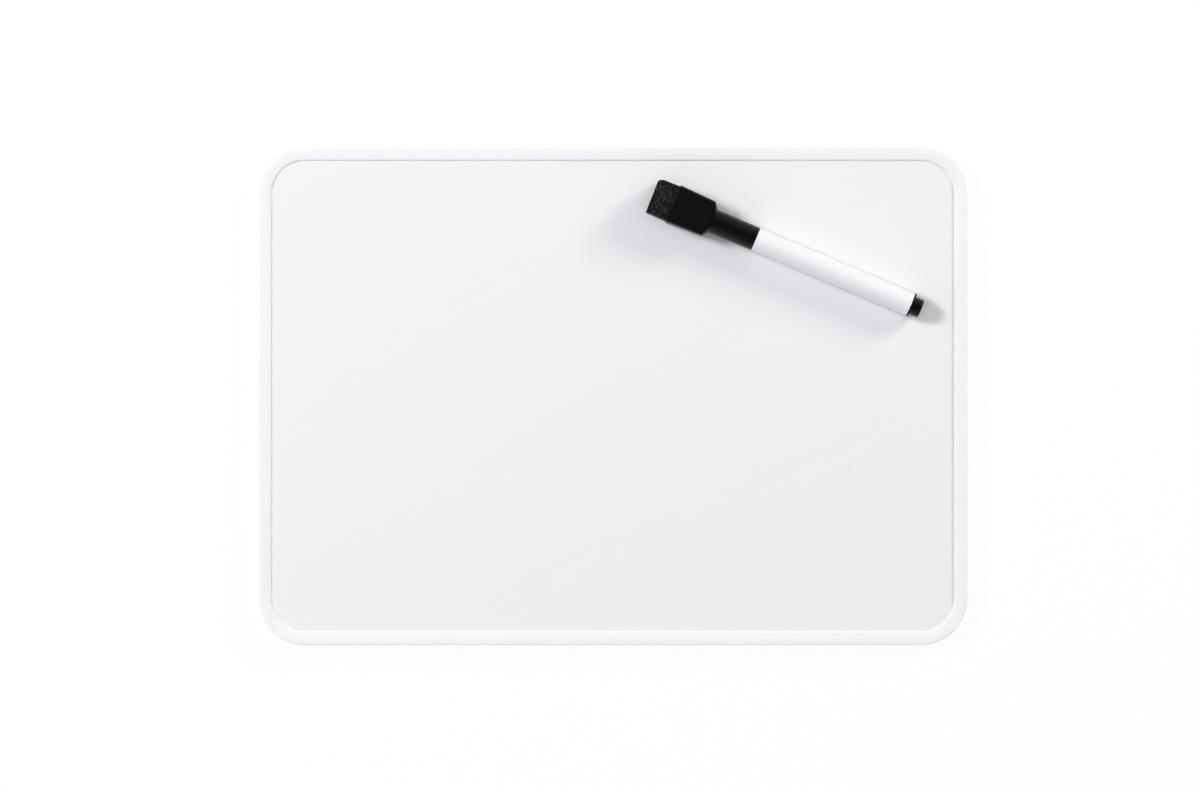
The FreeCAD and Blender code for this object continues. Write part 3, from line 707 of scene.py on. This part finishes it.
def close_seams(piece):
    """Merges points that meet, fills the open back ring and turns the faces outwards."""
    touching = 0.002 * MM
    mesh = bmesh.new()
    mesh.from_mesh(piece.data)
    bmesh.ops.remove_doubles(mesh, verts=mesh.verts, dist=touching)
    bmesh.ops.holes_fill(mesh, edges=[edge for edge in mesh.edges if edge.is_boundary], sides=0)
    bmesh.ops.recalc_face_normals(mesh, faces=mesh.faces)
    if any(not edge.is_manifold for edge in mesh.edges):
        raise RuntimeError(f"{piece.name} isn't closed")
    mesh.to_mesh(piece.data)
    mesh.free()


def pressed_felt(shape):
    """Pressed wool felt. It takes light without any shine: charcoal, with pale single fibres over it."""
    material, tree = new_material("pressed_wool_felt_charcoal")
    place = add_node(tree, "ShaderNodeTexCoord").outputs["Object"]
    fibre = add_node(tree, "ShaderNodeAttribute", attribute_name="fibre")
    # Loose fluff is far finer than a pixel, so it is drawn about five times as coarse.
    fluff = add_node(
        tree, "ShaderNodeTexNoise", {"Vector": place},
        {"Scale": per_metre(0.6 * MM), "Detail": 3.0, "Roughness": 0.6, "Distortion": 1.2},
    )
    share = add_node(
        tree, "ShaderNodeMath", {0: fibre.outputs["Fac"], 1: fluff.outputs["Fac"]}, operation="MULTIPLY"
    )
    pale = add_node(
        tree, "ShaderNodeMapRange", {"Value": share.outputs["Value"]}, {"From Min": 0.13, "From Max": 0.52}
    )
    tint = add_node(
        tree, "ShaderNodeMix", {"Factor": pale.outputs["Result"]},
        {"A": opaque(shape.shade), "B": opaque(shape.light)}, data_type="RGBA",
    )
    bump = add_node(
        tree, "ShaderNodeBump", {"Height": fluff.outputs["Fac"]}, {"Strength": 0.6, "Distance": 0.15 * MM}
    )
    surface = add_node(
        tree, "ShaderNodeBsdfPrincipled",
        links={"Base Color": tint.outputs["Result"], "Normal": bump.outputs["Normal"]},
        values={"Roughness": 0.95, "Specular IOR Level": 0.1, "Sheen Weight": 0.08, "Sheen Roughness": 0.6},
    )
    add_node(tree, "ShaderNodeOutputMaterial", {"Surface": surface.outputs["BSDF"]})
    return material


# The studio

def white_sweep(settings):
    """Matt white paper sweep. The camera, mirrors and glass see it near white with a faint shadow.

    From below it is clear, so that the board's back can be looked at.
    """
    material, tree = new_material("paper_sweep_white")
    place = add_node(tree, "ShaderNodeTexCoord").outputs["Object"]
    cloud = add_node(tree, "ShaderNodeTexNoise", {"Vector": place}, {"Scale": per_metre(300 * MM)})
    tint = add_node(
        tree, "ShaderNodeMix", {"Factor": cloud.outputs["Fac"]},
        {"A": scaled(settings.floor_colour, 0.99), "B": scaled(settings.floor_colour, 1.01)},
        data_type="RGBA",
    )
    paper = add_node(tree, "ShaderNodeBsdfDiffuse", {"Color": tint.outputs["Result"]})
    white = add_node(tree, "ShaderNodeEmission", values={"Color": (1.0, 1.0, 1.0, 1.0), "Strength": 1.0})
    path = add_node(tree, "ShaderNodeLightPath")
    seen = add_node(
        tree, "ShaderNodeMath",
        {0: path.outputs["Is Camera Ray"], 1: path.outputs["Is Glossy Ray"]}, operation="ADD", use_clamp=True,
    )
    seen = add_node(
        tree, "ShaderNodeMath",
        {0: seen.outputs["Value"], 1: path.outputs["Is Transmission Ray"]}, operation="ADD", use_clamp=True,
    )
    # This share of what is seen is plain white. The rest is the paper itself, which carries the shadow.
    white_share = 0.94
    share = add_node(
        tree, "ShaderNodeMath", {0: seen.outputs["Value"]}, {1: white_share}, operation="MULTIPLY"
    )
    mixed = add_node(
        tree, "ShaderNodeMixShader",
        {0: share.outputs["Value"], 1: paper.outputs["BSDF"], 2: white.outputs["Emission"]},
    )
    below = add_node(tree, "ShaderNodeNewGeometry").outputs["Backfacing"]
    clear = add_node(tree, "ShaderNodeBsdfTransparent")
    sided = add_node(
        tree, "ShaderNodeMixShader", {0: below, 1: mixed.outputs["Shader"], 2: clear.outputs["BSDF"]}
    )
    add_node(tree, "ShaderNodeOutputMaterial", {"Surface": sided.outputs["Shader"]})
    return material


def make_floor(settings):
    """A large flat sweep just under the board, with a window under the panel that lets light to its back.

    Three bands of x cross three bands of y, and the middle cell is left out. The window's edge lies a rim in
    from the board's outline, and the sweep lies a hair below the board, so that the two never share a plane.
    """
    half, rim, hair = 4.0, 9 * MM, 0.05 * MM
    middle_cell = 4
    window_x, window_y = CAD_BOX[1][0] - rim, CAD_BOX[1][1] - rim
    x, y = np.meshgrid((-half, -window_x, window_x, half), (-half, -window_y, window_y, half))
    points = np.stack((x, y, np.full_like(x, CAD_BOX[0][2] - hair)), axis=-1).reshape(-1, 3)
    corner = np.arange(x.size).reshape(x.shape)
    cells = np.stack((corner[:-1, :-1], corner[:-1, 1:], corner[1:, 1:], corner[1:, :-1]), axis=-1)
    faces = np.delete(cells.reshape(-1, 4), middle_cell, axis=0)
    mesh = bpy.data.meshes.new("floor")
    mesh.from_pydata(points.tolist(), [], faces.tolist())
    floor = bpy.data.objects.new("floor", mesh)
    bpy.context.scene.collection.objects.link(floor)
    mesh.materials.append(white_sweep(settings))


def add_softbox(name, turn, rise, distance, size, share, tint):
    """A square softbox turned to the board's middle, at a turn from +X and a rise over the board in degrees.

    Its power is what gives a level white surface the share of full white from a small lamp: share times pi
    squared times the distance squared, over the sine of the rise. A lamp as wide as its distance gives less.
    """
    azimuth, elevation = math.radians(turn), math.radians(rise)
    lamp = bpy.data.lights.new(name, "AREA")
    lamp.size = size
    lamp.color = tint
    lamp.energy = share * math.pi**2 * distance**2 / math.sin(elevation)
    holder = bpy.data.objects.new(name, lamp)
    level_reach = math.cos(elevation)
    away = Vector((math.cos(azimuth) * level_reach, math.sin(azimuth) * level_reach, math.sin(elevation)))
    holder.location = away * distance
    holder.rotation_euler = away.to_track_quat("Z", "Y").to_euler()
    bpy.context.scene.collection.objects.link(holder)
    return holder


def make_room(settings):
    """The room round the set: pale walls, and a dark ceiling over the camera.

    Brightness rises with the angle from straight up, so that level black faces look into the dark ceiling,
    and the walls on the near side are brighter than those on the far side. The light under the floor is
    brighter again, and reaches only the board's back. The camera sees plain white past the floor's edge, and
    so do gloss and clear film, close to the horizon. Higher up these see the room itself, because a white
    ceiling would grey the black plastic.
    """
    world = bpy.data.worlds.new("room")
    world.use_nodes = True
    tree = world.node_tree
    tree.nodes.clear()
    direction = add_node(tree, "ShaderNodeTexCoord").outputs["Generated"]
    parts = add_node(tree, "ShaderNodeSeparateXYZ", {"Vector": direction})
    # Heights are the upward part of a direction, from 0 at the horizon to 1 straight up.
    wall_top, ceiling_from, ceiling_share = 0.55, 0.92, 0.03
    under_to, under_share = -0.1, 2.4
    near_share, far_share = 1.35, 0.65
    white_top, room_from = 0.02, 0.06
    pale, dark = settings.room_light, settings.room_light * ceiling_share
    wall = add_node(
        tree, "ShaderNodeMapRange", {"Value": parts.outputs["Z"]},
        {"From Min": wall_top, "From Max": ceiling_from, "To Min": pale, "To Max": dark},
        interpolation_type="SMOOTHSTEP",
    )
    near = add_node(
        tree, "ShaderNodeMapRange", {"Value": parts.outputs["Y"]},
        {"From Min": -1.0, "From Max": 1.0, "To Min": near_share, "To Max": far_share},
    )
    sides = add_node(
        tree, "ShaderNodeMath", {0: wall.outputs["Result"], 1: near.outputs["Result"]}, operation="MULTIPLY"
    )
    under = add_node(
        tree, "ShaderNodeMapRange", {"Value": parts.outputs["Z"]},
        {"From Min": under_to, "From Max": 0.0, "To Min": under_share, "To Max": 1.0},
    )
    sides = add_node(
        tree, "ShaderNodeMath", {0: sides.outputs["Value"], 1: under.outputs["Result"]}, operation="MULTIPLY"
    )
    path = add_node(tree, "ShaderNodeLightPath")
    mirrored = add_node(
        tree, "ShaderNodeMath",
        {0: path.outputs["Is Glossy Ray"], 1: path.outputs["Is Transmission Ray"]},
        operation="ADD", use_clamp=True,
    )
    horizon = add_node(
        tree, "ShaderNodeMapRange", {"Value": parts.outputs["Z"]},
        {"From Min": white_top, "From Max": room_from, "To Min": 1.0, "To Max": 0.0},
    )
    mirrored = add_node(
        tree, "ShaderNodeMath", {0: mirrored.outputs["Value"], 1: horizon.outputs["Result"]},
        operation="MULTIPLY",
    )
    direct = add_node(
        tree, "ShaderNodeMath", {0: path.outputs["Is Camera Ray"], 1: mirrored.outputs["Value"]},
        operation="ADD", use_clamp=True,
    )
    seen = add_node(
        tree, "ShaderNodeMath", {0: sides.outputs["Value"], 1: direct.outputs["Value"]}, operation="MAXIMUM"
    )
    tint = add_node(
        tree, "ShaderNodeMix", {"Factor": direct.outputs["Value"]},
        {"A": opaque(settings.fill_tint), "B": (1.0, 1.0, 1.0, 1.0)}, data_type="RGBA",
    )
    glow = add_node(
        tree, "ShaderNodeBackground", {"Strength": seen.outputs["Value"], "Color": tint.outputs["Result"]}
    )
    add_node(tree, "ShaderNodeOutputWorld", {"Surface": glow.outputs["Background"]})
    bpy.context.scene.world = world


def make_camera(settings):
    """A camera straight above the board, whose view takes in the given width of the board's plane."""
    data = bpy.data.cameras.new("camera")
    data.sensor_width = 36.0
    data.lens = data.sensor_width * settings.camera_distance / settings.view_width
    data.clip_start, data.clip_end = 0.01, 50.0
    camera = bpy.data.objects.new("camera", data)
    board_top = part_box("front_frame")[1].z
    camera.location = (-settings.view_offset, 0.0, board_top + settings.camera_distance)
    bpy.context.scene.collection.objects.link(camera)
    bpy.context.scene.camera = camera


class LAPBOARD_OT_finish_board(Operator):
    """Gives the frame and the layers of the writing panel their finishes"""

    bl_idname = "lapboard.finish_board"
    bl_label = "Finish the board"

    def execute(self, context):
        finish = context.scene.lapboard_board
        dress(moulded_abs(finish), "front_frame", "rear_frame")
        dress(dry_erase_film(finish), "writing_sheet")
        dress(hardboard(finish), "core_board")
        dress(backing_paper(finish), "back_sheet")
        return {"FINISHED"}


class LAPBOARD_OT_finish_marker(Operator):
    """Gives the marker's barrel, cap, plug, nib and ink rod their finishes"""

    bl_idname = "lapboard.finish_marker"
    bl_label = "Finish the marker"

    def execute(self, context):
        finish = context.scene.lapboard_marker
        dress(gloss_barrel(finish), "barrel")
        dress(black_cap(finish), "cap")
        dress(black_plug(finish), "end_plug")
        dress(fibre_rod("acrylic_fibre_nib_inked", finish.nib_colour, 0.6, 0.2 * MM), "nib")
        dress(fibre_rod("polyester_fibre_ink_rod", finish.ink_colour, 0.8, 0.25 * MM), "ink_reservoir")
        dress(wrap_film(finish), "reservoir_film")
        return {"FINISHED"}


class LAPBOARD_OT_make_felt(Operator):
    """Makes the felt eraser that stands for the plain felt solid"""

    bl_idname = "lapboard.make_felt"
    bl_label = "Make the felt eraser"

    def execute(self, context):
        shape = context.scene.lapboard_felt
        points, ridge, (rows, columns) = felt_surface(shape)
        felt = new_mesh("felt_eraser", points, grid_faces(rows, columns), "fibre", ridge)
        close_seams(felt)
        felt.data.materials.append(pressed_felt(shape))
        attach(felt, "cap")
        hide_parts("eraser_felt")
        return {"FINISHED"}


class LAPBOARD_OT_make_stage(Operator):
    """Makes the floor, the lamps, the room and the camera"""

    bl_idname = "lapboard.make_stage"
    bl_label = "Make the stage"

    def execute(self, context):
        settings = context.scene.lapboard_studio
        make_floor(settings)
        make_room(settings)
        add_softbox(
            "left_softbox", turn=157, rise=40, distance=2.5, size=0.62,
            share=settings.left_light, tint=settings.left_tint,
        )
        add_softbox(
            "right_softbox", turn=34, rise=23, distance=1.8, size=0.48,
            share=settings.right_light, tint=settings.right_tint,
        )
        overhead = add_softbox(
            "overhead_light", turn=90, rise=90, distance=2.8, size=2.8,
            share=settings.top_light, tint=settings.fill_tint,
        )
        # The overhead light is cross-polarised, so it leaves no reflection in level faces.
        overhead.visible_glossy = False
        make_camera(settings)
        context.scene.view_settings.view_transform = "Standard"
        return {"FINISHED"}


class LAPBOARD_PT_sidebar(Panel):
    """Lists the steps that dress the lap board"""

    bl_idname = "LAPBOARD_PT_sidebar"
    bl_label = "Lap Board"
    bl_space_type = "VIEW_3D"
    bl_region_type = "UI"
    bl_category = "Lap Board"

    def draw(self, context):
        for step in STEPS:
            self.layout.operator(step.bl_idname)
        for group in GROUPS:
            settings = getattr(context.scene, group)
            box = self.layout.box()
            for name in settings.bl_rna.properties.keys():
                if name not in ("rna_type", "name"):
                    box.prop(settings, name)


GROUPS = {
    "lapboard_board": BoardFinish,
    "lapboard_marker": MarkerFinish,
    "lapboard_felt": FeltShape,
    "lapboard_studio": StudioSettings,
}
STEPS = (LAPBOARD_OT_finish_board, LAPBOARD_OT_finish_marker, LAPBOARD_OT_make_felt, LAPBOARD_OT_make_stage)
CLASSES = (*GROUPS.values(), *STEPS, LAPBOARD_PT_sidebar)


def register():
    """Registers the classes and gives the scene its settings."""
    for each in CLASSES:
        bpy.utils.register_class(each)
    for name, group in GROUPS.items():
        setattr(bpy.types.Scene, name, PointerProperty(type=group))


def unregister():
    """Takes the settings and the classes away again."""
    for name in GROUPS:
        delattr(bpy.types.Scene, name)
    for each in reversed(CLASSES):
        bpy.utils.unregister_class(each)


def main():
    """Dresses the board and the marker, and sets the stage."""
    register()
    bpy.ops.lapboard.finish_board()
    bpy.ops.lapboard.finish_marker()
    bpy.ops.lapboard.make_felt()
    bpy.ops.lapboard.make_stage()


if __name__ == "__main__":
    main()
